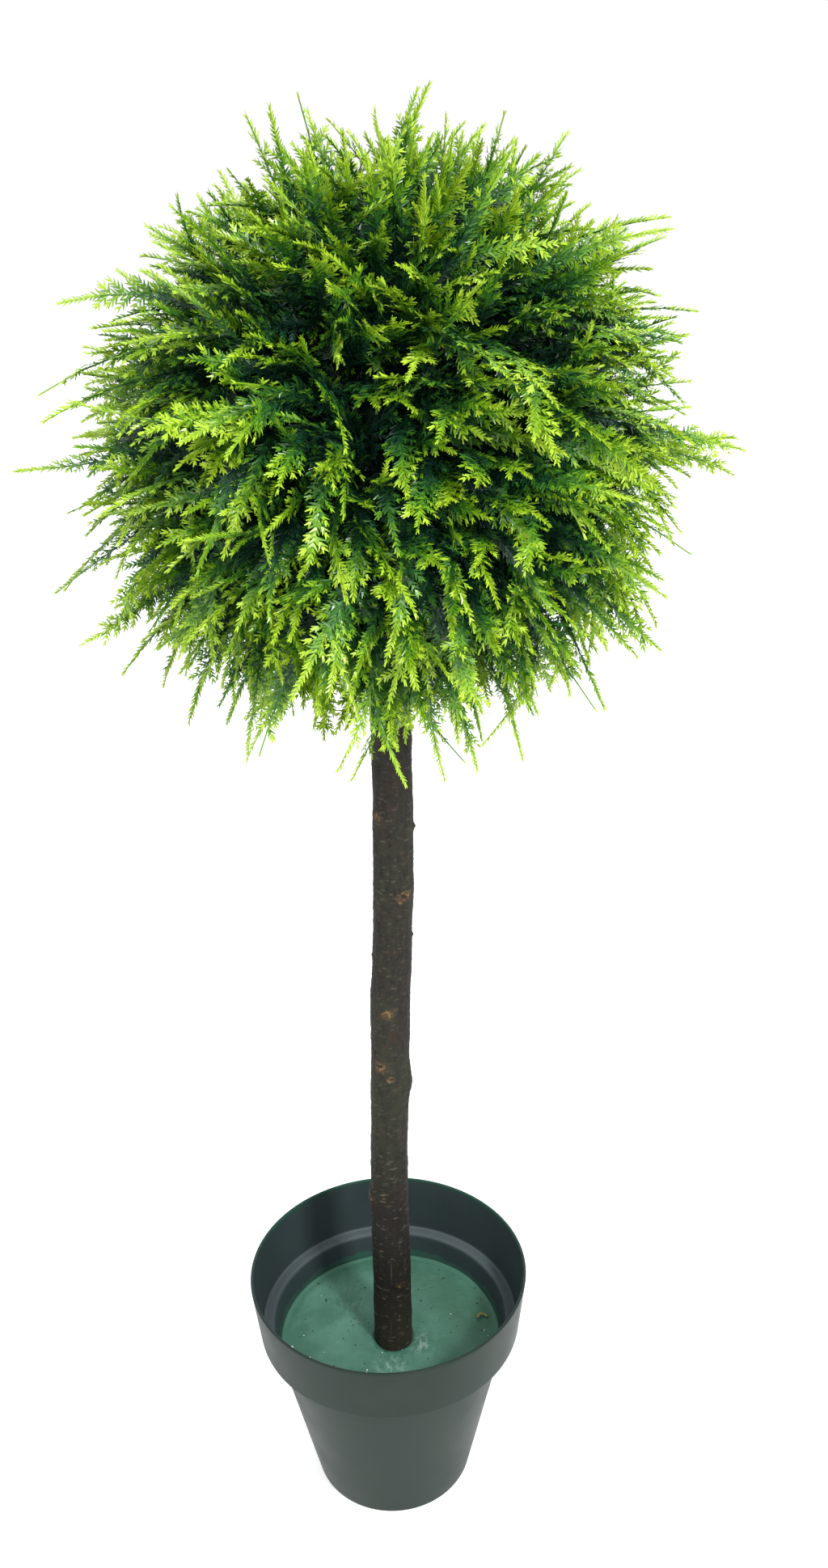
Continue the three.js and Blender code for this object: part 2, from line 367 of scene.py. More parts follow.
class Wire:
    """A socket's value in an expression. Each operator adds the Math node that works it out."""

    def __init__(self, shader, socket):
        self.shader = shader
        self.socket = socket

    __add__, __radd__ = arithmetic("ADD"), arithmetic("ADD", swapped=True)
    __mul__, __rmul__ = arithmetic("MULTIPLY"), arithmetic("MULTIPLY", swapped=True)
    __sub__ = arithmetic("SUBTRACT")


class Shader:
    """A material that is built node by node round one Principled surface."""

    def __init__(self, name, **fixed):
        self.material = bpy.data.materials.new(name)
        self.material.use_nodes = True
        self.tree = self.material.node_tree
        self.tree.nodes.clear()
        sockets = {key.replace("_", " ").title().replace("Ior", "IOR"): fixed[key] for key in fixed}
        self.surface = self.node("ShaderNodeBsdfPrincipled", {}, sockets)
        output = self.node("ShaderNodeOutputMaterial", {}, {})
        self.tree.links.new(self.surface.outputs[0], output.inputs["Surface"])
        self.place = self.wire(self.node("ShaderNodeTexCoord", {}, {}), "Object")

    def node(self, kind, settings, sockets):
        """A node with its settings, then the values or links of its sockets."""
        made = self.tree.nodes.new(kind)
        stops = settings.pop("stops", None)
        for key, value in settings.items():
            setattr(made, key, value)
        if stops:
            self.set_stops(made.color_ramp.elements, stops)
        for name, value in sockets.items():
            socket = next(s for s in made.inputs if s.name == name and s.enabled)
            self.feed(socket, value)
        return made

    def set_stops(self, elements, stops):
        """A ramp's stops, as (place, colour) pairs."""
        while len(elements) < len(stops):
            elements.new(1.0)
        for element, (place, colour) in zip(elements, stops):
            element.position = place
            element.color = (*colour, 1.0)

    def feed(self, socket, value):
        """Links a wire to a socket, or sets the socket's own value."""
        if isinstance(value, Wire):
            self.tree.links.new(value.socket, socket)
        elif socket.type == "RGBA":
            socket.default_value = (*value, 1.0)[:4]
        else:
            socket.default_value = value

    def wire(self, node, name):
        """A node's output as a value for expressions."""
        return Wire(self, next(s for s in node.outputs if s.name == name and s.enabled))

    def math(self, operation, a, b):
        """A Math node."""
        made = self.node("ShaderNodeMath", {"operation": operation}, {})
        self.feed(made.inputs[0], a)
        self.feed(made.inputs[1], b)
        return Wire(self, made.outputs[0])

    def stretched(self, x, y, z):
        """The place on the object, with its axes scaled."""
        return self.wire(
            self.node("ShaderNodeMapping", {}, {"Vector": self.place, "Scale": (x, y, z)}), "Vector"
        )

    def noise(self, scale, detail=3.0, roughness=0.55, place=None):
        """Noise from 0 to 1; the scale counts its cells in a metre."""
        sockets = {"Vector": place or self.place, "Scale": scale, "Detail": detail, "Roughness": roughness}
        return self.wire(self.node("ShaderNodeTexNoise", {}, sockets), "Fac")

    def spots(self, scale):
        """Distance from the nearest of many scattered points, in cells."""
        sockets = {"Vector": self.place, "Scale": scale}
        return self.wire(self.node("ShaderNodeTexVoronoi", {}, sockets), "Distance")

    def rise(self, value, low, high):
        """0 below low and 1 above high, smooth between; with high under low it falls instead."""
        settings = {"interpolation_type": "SMOOTHSTEP"}
        sockets = {"Value": value, "From Min": low, "From Max": high}
        return self.wire(self.node("ShaderNodeMapRange", settings, sockets), "Result")

    def attribute(self, name):
        """One of the piece's own attributes."""
        return self.wire(self.node("ShaderNodeAttribute", {"attribute_name": name}, {}), "Fac")

    def mixed(self, share, a, b):
        """Colour a where the share is 0, and b where it is 1."""
        sockets = {"Factor": share, "A": a, "B": b}
        return self.wire(self.node("ShaderNodeMix", {"data_type": "RGBA"}, sockets), "Result")

    def height(self):
        """Height on the object."""
        return self.wire(self.node("ShaderNodeSeparateXYZ", {}, {"Vector": self.place}), "Z")

    def finish(self, colour, roughness=None, relief=None, depth=0.0):
        """Feeds the surface's colour, roughness and bump, and gives back the material."""
        self.feed(self.surface.inputs["Base Color"], colour)
        if roughness is not None:
            self.feed(self.surface.inputs["Roughness"], roughness)
        if relief is not None:
            bump = self.node("ShaderNodeBump", {}, {"Height": relief, "Distance": depth})
            self.feed(self.surface.inputs["Normal"], self.wire(bump, "Normal"))
        return self.material


# ---- Pot ----


def pot_plastic(settings, cement_top):
    """Silky moulded plastic: cloudy, with dust on the ledge and fine scuffs. The inner wall is painted
    paler and bluer as painted light, and the rim's edge carries a painted green glint.
    """
    shader = Shader("pot_plastic", specular_ior_level=0.12)
    inside = shader.attribute("inside")
    cloud = shader.rise(shader.noise(22, 4), 0.35, 0.7)
    fine = shader.noise(900, 2)
    scuffs = shader.rise(shader.noise(60, 6, 0.7, shader.stretched(1, 1, 6)), 0.6, 0.78)
    ledge = shader.attribute("ledge")
    # The inner wall takes its paler, bluer tint: painted light on the same plastic.
    base = shader.mixed(inside, settings.outside, settings.inside)
    lighter = shader.mixed(0.04, base, settings.dust)
    clouded = shader.mixed(cloud * 0.7, base, lighter)
    dusty = shader.mixed(scuffs * 0.05 + ledge * 0.3, clouded, settings.dust)
    ragged = shader.height() - settings.stain_height * (shader.noise(90, 4, 0.6) * 2 - 0.2)
    stain = inside * shader.rise(ragged, cement_top + 1 * MM, cement_top - 0.5 * MM)
    dusty = shader.mixed(stain * (0.6 + cloud * 0.3), dusty, settings.stain)
    # Painted green glint along the rim's edge, at the back.
    dusty = shader.mixed(shader.attribute("rim"), dusty, settings.rim)
    roughness = 0.42 + cloud * 0.1 + scuffs * 0.12 + ledge * 0.08
    relief = fine * 0.5 + shader.noise(240, 3) * 0.8
    return shader.finish(dusty, roughness, relief, 0.05 * MM)


def pot_path(settings, top, rim_radius):
    """The pot's half section: the recessed underside, the tapered body, the step out to the collar,
    the rim, and down inside past the ledge to the floor. Corners are arcs."""
    wall, floor = settings.wall, settings.floor
    step = top - settings.collar_height
    slope = (settings.body_top_radius - settings.base_radius) / step
    ring = settings.base_radius - settings.foot_ring
    lip = 0.45 * wall
    return rounded(
        (
            (0, settings.recess, 0),
            (ring - 1 * MM, settings.recess, 0.4 * MM),
            (ring, 0, 0.3 * MM),
            (settings.base_radius, 0, 2.2 * MM),
            (settings.body_top_radius, step, 1.0 * MM),
            (settings.collar_foot_radius, step, 0.9 * MM),
            (rim_radius, top, lip),
            (rim_radius - wall, top, lip),
            (settings.collar_foot_radius - wall, step + wall, 1.6 * MM),
            (settings.body_top_radius - wall, step + wall, 3.2 * MM),
            (settings.base_radius + slope * floor - wall, floor, 2.0 * MM),
            (0, floor, 0),
        )
    )


class TOPIARY_OT_pot(bpy.types.Operator):
    """Makes the nursery pot"""

    bl_idname = "topiary.pot"
    bl_label = "Pot"

    def execute(self, context):
        settings = context.scene.topiary.pot
        low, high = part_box("pot")
        size = high - low
        path = refined(pot_path(settings, high.z, size.x / 2), 2.5 * MM)
        grid, start, end = turned(path, POT_SIDES)
        share = grid[..., 2] / high.z
        angle = np.arctan2(grid[..., 1], grid[..., 0])
        stray = np.sin(2 * angle + 0.6) + 0.5 * np.sin(3 * angle + 2) + 0.4 * np.sin(5 * angle)
        radius = np.linalg.norm(grid[..., :2], axis=-1)
        grid[..., :2] *= (1 - settings.wobble * share**2 * (1.5 - stray) / 2.5 / radius)[..., None]
        points, faces = closed_tube(grid, start, end)
        material = pot_plastic(settings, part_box("cement")[1].z)
        piece = add_piece("nursery_pot", points, outward(points, faces), material, ["pot"])
        self.mark(piece, settings, points, path, high.z)
        return {"FINISHED"}

    def mark(self, piece, settings, points, path, top):
        """Masks for the inner wall, and for the ledge inside the collar and the rim's edge, which both show
        most at the back. The rim's mask places a painted green glint."""
        rows = len(path) - 2
        past_rim = np.arange(rows) > np.argmax(path[1:-1, 1])
        inside = np.append(np.repeat(past_rim, (len(points) - 2) // rows), (False, True))
        radius = np.linalg.norm(points[:, :2], axis=1)
        ledge_height = top - settings.collar_height + settings.wall
        near = 1 - smooth(0, 1.6 * MM, np.abs(points[:, 2] - ledge_height))
        behind = points[:, 1] / radius.clip(MM)
        on_ledge = near * smooth(0, 2 * MM, settings.collar_foot_radius - radius)
        on_ledge = on_ledge * (0.45 + 0.55 * smooth(0.1, 0.9, behind))
        # Painted green glint: along the top of the rim, most at the back.
        rim = 0.5 * smooth(top - 1.6 * MM, top - 0.5 * MM, points[:, 2]) * smooth(-0.2, 0.6, behind)
        add_attribute(piece, "rim", rim)
        add_attribute(piece, "inside", inside.astype(float))
        add_attribute(piece, "ledge", inside * on_ledge)


# ---- Cement ----


# Soft places on the cement: across and along in millimetres, reach, and strength.
SMEARS = ((21, -11, 8, 0.45), (1, -32, 10, 0.4), (-30, 30, 14, 0.12))
# Places of painted shadow, darker on the right of the cement and towards the back.
PAINTED_SHADOW_PLACES = ((54, 8, 26, 0.5), (28, 44, 26, 0.4), (73, 10, 8, 0.5))

# The dry shaving on the cement: its middle, the radius of its curl, and its half width and height.
SHAVING_PLACE = (66 * MM, 11 * MM)
SHAVING_CURL = 2.9 * MM
SHAVING_WIDE, SHAVING_THICK = 1.1 * MM, 0.4 * MM


def painted_cement(settings):
    """Brushed green paint on cement: thick and thin patches, whitish rubbed places, open pits, and painted
    shadow on its right and towards the back.
    """
    shader = Shader("painted_cement", specular_ior_level=0.35)
    patches = shader.rise(shader.noise(38, 5, 0.6), 0.36, 0.66)
    strokes = shader.noise(120, 4, 0.6, shader.stretched(1, 5, 1))
    rubbed = shader.rise(shader.noise(52, 6, 0.65, shader.stretched(1, 2.2, 1)), 0.62, 0.8)
    smears = shader.rise(shader.noise(190, 6, 0.65, shader.stretched(1.4, 0.7, 1)), 0.45, 0.62)
    pits = shader.rise(shader.spots(190), 0.13, 0.05) * shader.rise(shader.noise(70, 2), 0.5, 0.6)
    wet = shader.attribute("edge")
    colour = shader.mixed(patches * 0.6 + strokes * 0.25, settings.thick_paint, settings.paint)
    colour = shader.mixed(rubbed * 0.3 + smears * shader.attribute("smear"), colour, settings.scuff)
    # Painted shadow: darker olive on the right of the cement and towards the back.
    colour = shader.mixed(shader.attribute("painted_shadow"), colour, settings.painted_shadow_tint)
    colour = shader.mixed(wet * 0.75, colour, settings.thick_paint)
    colour = shader.mixed(pits, colour, settings.pit)
    roughness = 0.62 + patches * 0.12 - wet * 0.12 + rubbed * 0.1
    relief = shader.noise(420, 5, 0.6) - pits * 2.0 + strokes * 0.4
    return shader.finish(colour, roughness, relief, 0.3 * MM)


def soft_places(points, places):
    """The sum of round places, each of its strength times e to the minus (distance / reach)²."""
    total = 0
    for x, y, reach, strength in places:
        away = np.hypot(points[:, 0] - x * MM, points[:, 1] - y * MM)
        total = total + strength * np.exp(-((away / (reach * MM)) ** 2))
    return total


def stem_axis_at(height):
    """Centre and radius of the stem at a height, from its sections."""
    heights, centres, radii = stem_sections()
    centre = [np.interp(height, heights, centres[:, axis]) for axis in range(2)]
    return np.array(centre), np.interp(height, heights, radii.mean(axis=1))


def crumb_shapes(places, sizes, rng):
    """Small uneven grains: octahedra with each corner pushed in or out at random."""
    corners = np.array(((1, 0, 0), (-1, 0, 0), (0, 1, 0), (0, -1, 0), (0, 0, 1), (0, 0, -1)), float)
    sides = np.array(
        ((0, 2, 4), (2, 1, 4), (1, 3, 4), (3, 0, 4), (2, 0, 5), (1, 2, 5), (3, 1, 5), (0, 3, 5))
    )
    reach = rng.uniform(0.5, 1.3, (len(places), 6, 1)) * sizes[:, None, None]
    points = places[:, None] + corners * reach * (1, 1, 0.7)
    faces = np.arange(len(places))[:, None, None] * 6 + sides
    return points.reshape(-1, 3), faces.reshape(-1, 3)


class TOPIARY_OT_cement(bpy.types.Operator):
    """Makes the painted cement with the crumbs and the shaving that lie on it"""

    bl_idname = "topiary.cement"
    bl_label = "Cement"

    def execute(self, context):
        settings = context.scene.topiary.cement
        low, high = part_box("cement")
        wall = (high.x - low.x) / 2
        foot = wall - (high.z - low.z) * self.wall_slope(context.scene.topiary.pot)
        self.stem_centre, self.stem_radius = stem_axis_at(high.z)
        rim = np.array(((0, low.z), (foot, low.z), (wall, high.z - 1 * MM)))
        inward = np.linspace(wall, 0, CEMENT_RINGS)
        across = np.stack((inward, np.full_like(inward, high.z)), axis=-1)
        grid, start, _ = turned(np.concatenate((refined(rim, 8 * MM), across)), CEMENT_SIDES)
        top = grid[..., 2] > high.z - 0.1 * MM
        grid[..., 2] += np.where(top, self.relief(settings, grid, wall), 0)
        points, faces = closed_tube(grid, start, (0, 0, high.z - settings.gap_depth))
        name, material = "painted_cement", painted_cement(settings)
        piece = add_piece(name, points, outward(points, faces), material, ["cement"])
        radius = np.linalg.norm(points[:, :2], axis=1)
        bearing = np.arctan2(points[:, 1], points[:, 0])
        width = (3 + 2.5 * np.sin(bearing) + 1.2 * np.sin(5 * bearing) + 0.8 * np.sin(9 * bearing)) * MM
        edge = smooth(wall - 1.6 * width - 2 * MM, wall - 0.6 * width, radius)
        gap = 1 - smooth(1 * MM, 4 * MM, self.from_stem(points))
        add_attribute(piece, "edge", np.maximum(edge, gap))
        add_attribute(piece, "smear", soft_places(points, SMEARS))
        # Mask of the painted shadow on the cement.
        add_attribute(piece, "painted_shadow", soft_places(points, PAINTED_SHADOW_PLACES))
        self.add_crumbs(settings, high.z, wall)
        self.add_shaving(high.z)
        return {"FINISHED"}

    def wall_slope(self, pot):
        """How far the pot's bore widens with height."""
        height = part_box("pot")[1].z - pot.collar_height
        return (pot.body_top_radius - pot.base_radius) / height

    def from_stem(self, points):
        """Distance outside the stem's face."""
        return np.linalg.norm(points[..., :2] - self.stem_centre, axis=-1) - self.stem_radius

    def relief(self, settings, grid, wall):
        """Slow waves, small bumps, a creep up the wall, and a gap that dips beside the stem."""
        radius = np.linalg.norm(grid[..., :2], axis=-1)
        waves = settings.unevenness * (noise(grid, 31 * MM, 1) + 0.5 * noise(grid, 12 * MM, 2))
        bumps = settings.grain * (noise(grid, 3 * MM, 3) + 0.7 * noise(grid, 1.4 * MM, 4))
        creep = settings.creep * smooth(wall - 4 * MM, wall, radius) ** 2
        clear = smooth(0, 2.2 * MM, self.from_stem(grid) + 0.3 * MM)
        return (waves - settings.unevenness + bumps + creep) * clear - settings.gap_depth * (1 - clear)

    def add_crumbs(self, settings, top, wall):
        """Pale and dark grains, most of them near the stem and the wall."""
        rng = np.random.default_rng(settings.seed)
        angle = rng.uniform(0, TAU, settings.crumbs)
        reach = self.stem_radius + (wall - self.stem_radius) * rng.beta(0.7, 0.7, settings.crumbs) * 0.93
        size = (0.3 + rng.gamma(2.0, 0.14, settings.crumbs)) * MM
        places = np.stack((reach * np.cos(angle), reach * np.sin(angle), 0 * angle), axis=-1)
        places[:, :2] += self.stem_centre * (1 - reach / wall)[:, None]
        places[:, 2] = top
        places[:, 2] += self.relief(settings, places, wall) + 0.25 * size
        pale = rng.random(settings.crumbs) < 0.1
        kinds = (("pale_crumbs", pale, linear(238, 242, 238)), ("dark_crumbs", ~pale, linear(20, 26, 22)))
        for name, chosen, colour in kinds:
            points, faces = crumb_shapes(places[chosen], size[chosen], rng)
            material = Shader(name, roughness=0.8).finish(colour)
            add_piece(name, points, faces, material, shaded_smooth=False)

    def add_shaving(self, top):
        """A small dry curl that lies on the cement: a flat tube along an arc that rises at one end."""
        angle = np.linspace(0.2, 3.4, 40)[:, None]
        round_it = np.arange(8) * TAU / 8
        radius = SHAVING_CURL * (1 + 0.06 * angle) + SHAVING_WIDE * np.cos(round_it)
        height = top + (0.5 + 0.3 * angle) * MM + SHAVING_THICK * np.sin(round_it)
        x, y = SHAVING_PLACE
        grid = np.stack((x + radius * np.cos(angle), y + radius * np.sin(angle), height), axis=-1)
        points, faces = closed_tube(grid, grid[0].mean(axis=0), grid[-1].mean(axis=0))
        material = Shader("dry_shaving", roughness=0.8).finish(linear(112, 112, 58))
        add_piece("shaving", points, outward(points, faces), material)


# ---- Stem ----


def stem_sections():
    """The stem's CAD rings: their heights, their middles, and their radii at even angles."""
    points = cad_points("stem")
    heights = np.unique(points[:, 2].round(4))
    angles = np.arange(32) * TAU / 32
    centres, radii = [], []
    for height in heights:
        ring = points[np.abs(points[:, 2] - height) < 0.2 * MM]
        middle = (ring.min(axis=0) + ring.max(axis=0)) / 2
        away = ring - middle
        reach = np.linalg.norm(away[:, :2], axis=1)
        away = away[reach > reach.max() / 2]
        bearing = np.arctan2(away[:, 1], away[:, 0])
        sides = sorted(zip(bearing, np.hypot(*away[:, :2].T)))
        centres.append(middle)
        radii.append(np.interp(angles, *np.array(sides).T, period=TAU))
    return heights, np.array(centres), np.array(radii)


def cubic(values, places):
    """Smooth curve through evenly spaced rows, by the four nearest rows of each place."""
    index = np.clip(np.floor(places).astype(int), 0, len(values) - 2)
    share = (places - index).reshape(-1, *([1] * (values.ndim - 1)))
    a, b, c, d = (values[np.clip(index + shift, 0, len(values) - 1)] for shift in (-1, 0, 1, 2))
    rise = (c - a) * share
    curve = (2 * a - 5 * b + 4 * c - d) * share**2
    turn = (3 * (b - c) + d - a) * share**3
    return b + (rise + curve + turn) / 2


PORE_RISE, CRACK_DEPTH = 0.2 * MM, 0.5 * MM

# Cut branches: height and bearing on the stem, and half the height of the scar.
SCARS = (
    (0.1663, -61, 2.4 * MM),
    (0.3340, -90, 2.2 * MM),
    (0.3425, -116, 4.2 * MM),
    (0.3820, -100, 3.4 * MM),
    (0.4640, -62, 3.6 * MM),
    (0.5150, -140, 2.6 * MM),
    (0.2360, -150, 2.2 * MM),
    (0.2450, 70, 4.5 * MM),
    (0.4150, 130, 5.0 * MM),
)

# Knobs grown over by bark: height and bearing, reach, and rise above the bark.
KNOBS = (
    (0.3235, 6, 7.0 * MM, 1.1 * MM),
    (0.4640, -20, 10.0 * MM, 0.7 * MM),
    (0.5060, -4, 1.9 * MM, 1.5 * MM),
    (0.4330, -6, 1.2 * MM, 0.9 * MM),
    (0.2330, -172, 9.0 * MM, 2.0 * MM),
    (0.2800, 110, 8.0 * MM, 1.2 * MM),
)


def bark_material(settings, foot):
    """Thin dark bark: olive and grey patches, darker near the foot, pale pores and orange scars."""
    shader = Shader("bark", specular_ior_level=0.2)
    patches = shader.rise(shader.noise(46, 4, 0.6, shader.stretched(1, 1, 0.4)), 0.38, 0.6)
    streaks = shader.noise(420, 4, 0.6, shader.stretched(1, 1, 0.12))
    flecks = shader.rise(shader.noise(520, 3, 0.5, shader.stretched(1, 1, 3.5)), 0.6, 0.72)
    blotches = shader.rise(shader.noise(150, 4, 0.65), 0.5, 0.66)
    wood = shader.rise(shader.noise(480, 5, 0.7), 0.46, 0.6)
    low = shader.rise(shader.height(), foot + 210 * MM, foot + 100 * MM)
    dusty = shader.rise(shader.height(), foot + 60 * MM, foot)
    scar, pore, crack = (shader.attribute(name) for name in ("scar", "pore", "crack"))
    mottle = shader.rise(shader.noise(330, 4, 0.7), 0.46, 0.62)
    colour = shader.mixed(patches * 0.7 + mottle * 0.45, settings.bark, settings.moss)
    rust = shader.rise(shader.noise(70, 4, 0.6), 0.54, 0.68)
    colour = shader.mixed(rust * 0.45, colour, settings.rust)
    colour = shader.mixed(streaks * 0.6 + blotches * 0.4, colour, settings.dark_bark)
    colour = shader.mixed(low * 0.66, colour, settings.dark_bark)
    colour = shader.mixed(dusty * 0.12, colour, settings.pore)
    colour = shader.mixed(flecks * 0.35 + pore * (0.4 + low * 0.35), colour, settings.pore)
    colour = shader.mixed(scar * (0.25 + wood * 0.75) * (0.35 + blotches * 0.65), colour, settings.scar)
    colour = shader.mixed(crack * 0.5, colour, settings.pore)
    cut = shader.rise(scar, 0.3, 0.8) * shader.rise(shader.noise(420, 4), 0.48, 0.64)
    colour = shader.mixed(cut * 0.45, colour, settings.cut_wood)
    hole = shader.rise(scar, 0.6, 0.95) * shader.rise(shader.noise(240, 2), 0.44, 0.36)
    colour = shader.mixed(hole * 0.8, colour, settings.dark_bark)
    roughness = 0.66 + streaks * 0.2 - scar * 0.1
    relief = streaks * 0.8 + flecks * 0.7 + shader.noise(900, 4) * 0.6
    return shader.finish(colour, roughness, relief, 0.35 * MM)


class TOPIARY_OT_stem(bpy.types.Operator):
    """Makes the wood stem with its bark"""

    bl_idname = "topiary.stem"
    bl_label = "Stem"

    def execute(self, context):
        settings = context.scene.topiary.stem
        rng = np.random.default_rng(settings.seed)
        heights, centres, radii = stem_sections()
        foot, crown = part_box("cement")[1].z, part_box("core")[0].z
        levels = (heights[0], foot - 6 * MM, crown - 20 * MM, heights[-1])
        spans = zip(levels, levels[1:], STEM_RINGS)
        parts = [np.linspace(low, high, rings)[:-1] for low, high, rings in spans]
        z = np.concatenate((*parts, heights[-1:]))
        rows = (z - heights[0]) / (heights[-1] - heights[0]) * (len(heights) - 1)
        angle = np.arange(STEM_SIDES) * TAU / STEM_SIDES
        around = (angle / TAU * radii.shape[1])[:, None]
        wrapped = np.concatenate((radii[:, -1:], radii, radii[:, :2]), axis=1)
        radius = cubic(cubic(wrapped, rows).T, around[:, 0] + 1).T
        middle = cubic(centres, rows)
        outward_way = np.stack((np.cos(angle), np.sin(angle), 0 * angle), axis=-1)
        solid = middle[:, None] + outward_way * radius[..., None]
        scar, scar_relief = self.scars(radius, angle, z, solid)
        pore, crack = self.marks(settings, rng, radius, angle, z, foot, crown)
        lump = settings.lumps * (0.6 * noise(solid, 17 * MM, 6) + 0.4 * noise(solid, 7 * MM, 7))
        rib = settings.ribs * noise(solid * (1, 1, 0.18), 2.6 * MM, 8)
        grain = settings.grain * (noise(solid, 1.5 * MM, 9) + noise(solid * (1, 1, 2.5), 2.4 * MM, 10))
        relief = (lump + rib + grain) * (1 - 0.6 * scar) + scar_relief
        relief += PORE_RISE * pore - CRACK_DEPTH * crack
        from_end = np.minimum(z - heights[0], heights[-1] - z)
        relief *= smooth(0, 5 * MM, from_end)[:, None]
        grid = solid + outward_way * relief[..., None]
        points, faces = closed_tube(grid, centres[0], centres[-1])
        material = bark_material(settings, foot)
        piece = add_piece("stem_bark", points, outward(points, faces), material, ["stem"])
        for name, values in (("scar", scar), ("pore", pore), ("crack", crack)):
            add_attribute(piece, name, np.append(values.ravel(), (0, 0)))
        return {"FINISHED"}

    def offsets(self, radius, angle, z, height, bearing):
        """Distances across and along the bark from one place on it."""
        turn = (angle - bearing + np.pi) % TAU - np.pi
        return radius * turn, (z - height)[:, None] + 0 * radius

    def scars(self, radius, angle, z, solid):
        """Each scar: a raised collar, a sunken face inside it, and a ragged edge."""
        mask, relief = np.zeros_like(radius), np.zeros_like(radius)
        ragged = 1 + 0.3 * noise(solid, 2.5 * MM, 21) + 0.2 * noise(solid, 1.1 * MM, 22)
        for height, bearing, size in SCARS:
            across, along = self.offsets(radius, angle, z, height, np.radians(bearing))
            reach = np.hypot(across / 1.15, along) / size * ragged
            mask = np.maximum(mask, 1 - smooth(0.3, 1.6, reach))
            relief += 0.16 * size * np.exp(-(((reach - 1.05) / 0.35) ** 2))
            relief -= 0.2 * size * (1 - smooth(0.2, 0.8, reach)) * (0.7 + 0.6 * noise(solid, 1.3 * MM, 23))
        for height, bearing, reach, rise in KNOBS:
            across, along = self.offsets(radius, angle, z, height, np.radians(bearing))
            relief += rise * np.exp(-((np.hypot(across, along) / reach * ragged) ** 2))
        return mask, relief

    def marks(self, settings, rng, radius, angle, z, foot, crown):
        """Cross-wise pores and upright cracks: masks of flat and of tall ellipses, in small windows."""
        pore, crack = np.zeros_like(radius), np.zeros_like(radius)
        # Mask, count, ranges of half width and half height in millimetres, and the highest place.
        kinds = (
            (pore, settings.pores, (0.4, 2.0), (0.18, 0.38), crown),
            (crack, settings.cracks, (0.2, 0.35), (2, 8), foot + 90 * MM),
        )
        for mask, number, widths, tallness, highest in kinds:
            heights = rng.uniform(foot, highest, number)
            bearings = rng.uniform(0, TAU, number)
            wides = rng.uniform(*widths, number) * MM
            talls = rng.uniform(*tallness, number) * MM
            strengths = rng.uniform(0.35, 1, number)
            for height, bearing, wide, tall, strength in zip(heights, bearings, wides, talls, strengths):
                near = np.flatnonzero(np.abs(z - height) < 1.6 * tall + 1 * MM)
                across, along = self.offsets(radius[near], angle, z[near], height, bearing)
                spot = strength * np.exp(-((across / wide) ** 4) - (along / tall) ** 2)
                mask[near] = np.maximum(mask[near], spot)
        return pore, crack


# ---- Core ----


SOCKET_PIT = 3 * MM  # depth of the pit round each socket
PIT_EDGE, PIT_FLOOR = 0.075, 0.05  # angles from a socket's middle where its pit starts and is deepest


class TOPIARY_OT_core(bpy.types.Operator):
    """Makes the ball that the sprigs are set in"""

    bl_idname = "topiary.core"
    bl_label = "Core"

    def execute(self, context):
        low, high = (np.array(corner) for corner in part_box("core"))
        centre = (low + high) / 2
        radius = (high[0] - low[0]) / 2
        tilt = np.linspace(np.pi, 0, CORE_RINGS)[1:-1]
        path = np.stack((radius * np.sin(tilt), radius * np.cos(tilt)), axis=-1)
        path = np.concatenate(([(0, -radius)], path, [(0, radius)]))
        grid, start, end = turned(path, CORE_SIDES)
        way = unit(grid)
        nearest = np.max(way @ spread_directions(context.scene.topiary.sprigs.sockets).T, axis=-1)
        socket = smooth(np.cos(PIT_EDGE), np.cos(PIT_FLOOR), nearest)
        grid = centre + grid - way * (SOCKET_PIT * socket)[..., None]
        points, faces = closed_tube(grid, centre + start, centre + end)
        shader = Shader("core_foam", roughness=0.85)
        mottle = shader.noise(160, 4)
        colour = shader.mixed(mottle, linear(8, 20, 12), linear(18, 40, 26))
        material = shader.finish(colour, 0.8 + mottle * 0.1, shader.noise(500, 3), 0.3 * MM)
        add_piece("core_ball", points, outward(points, faces), material, ["core"])
        return {"FINISHED"}


# ---- Sprigs ----


def spread_directions(number):
    """Directions spread evenly over a sphere, by the golden angle."""
    index = np.arange(number) + 0.5
    up = 1 - 2 * index / number
    angle = index * np.pi * (3 - np.sqrt(5))
    flat = np.sqrt(1 - up * up)
    return np.stack((flat * np.cos(angle), flat * np.sin(angle), up), axis=-1)


# Kinds of sprig: packed over the outline, short inside it, and long at the outline's tips.
PACKED, SHORT, LONG = range(3)

# Reaches of the tips as shares of the outline: of short ones, and the most of packed ones, with
# the shape and scale of the gamma draw that is taken off it.
SHORT_REACH = (0.55, 0.88)
FULL_REACH, REACH_LOSS = 1.065, (2.0, 0.038)

# Spreads of random draws: of the tips' directions, of a sprig's sag and sideways bow as shares of
# its length, of the turn of its spray out of the level, and of the angles of shoots and needles.
TIP_SPREAD = 0.03
SAG_SPREAD, BOW_SPREAD = 0.18, 0.38
TWIST_SPREAD = 1.3
SHOOT_TILT, NEEDLE_TURN, NEEDLE_LEAN = 0.22, 0.22, 0.1

